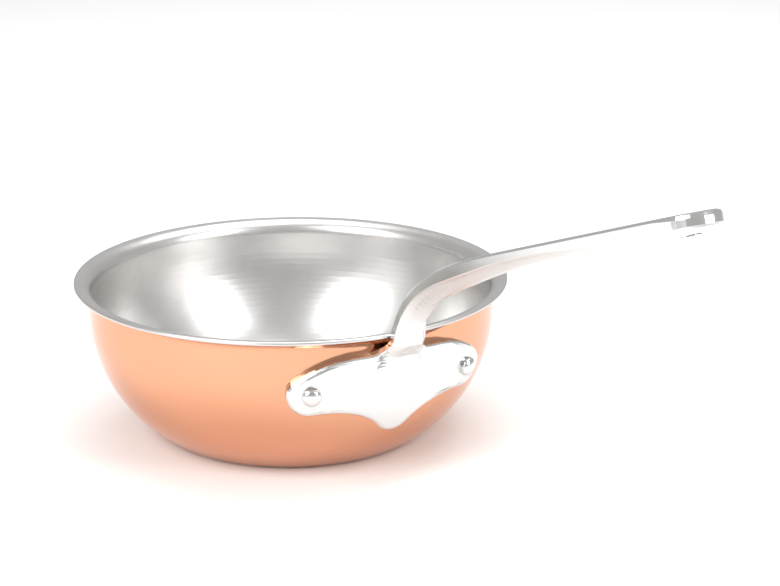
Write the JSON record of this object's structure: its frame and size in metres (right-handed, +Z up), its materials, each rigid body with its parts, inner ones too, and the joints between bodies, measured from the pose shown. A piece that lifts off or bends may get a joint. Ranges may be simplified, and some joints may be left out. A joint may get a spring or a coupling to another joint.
{
  "type": "saucier pan",
  "caption": "Copper saucier pan with a steel lining, a flared pouring rim and a long cast handle riveted to its curved side.",
  "frame": {"origin": "centre of the base's underside", "axes": "+Z up, +X towards the end of the handle"},
  "size_m": [0.3983, 0.1994, 0.1717],
  "materials": {
    "copper": "polished copper",
    "satin_steel": "satin stainless steel",
    "cast_steel": "polished cast stainless steel",
    "rivet_steel": "polished stainless steel"
  },
  "bodies": {
    "root": {"copper_shell": "copper", "steel_liner": "satin_steel", "handle": "cast_steel", "left_rivet": "rivet_steel", "right_rivet": "rivet_steel"}
  },
  "joints": []
}
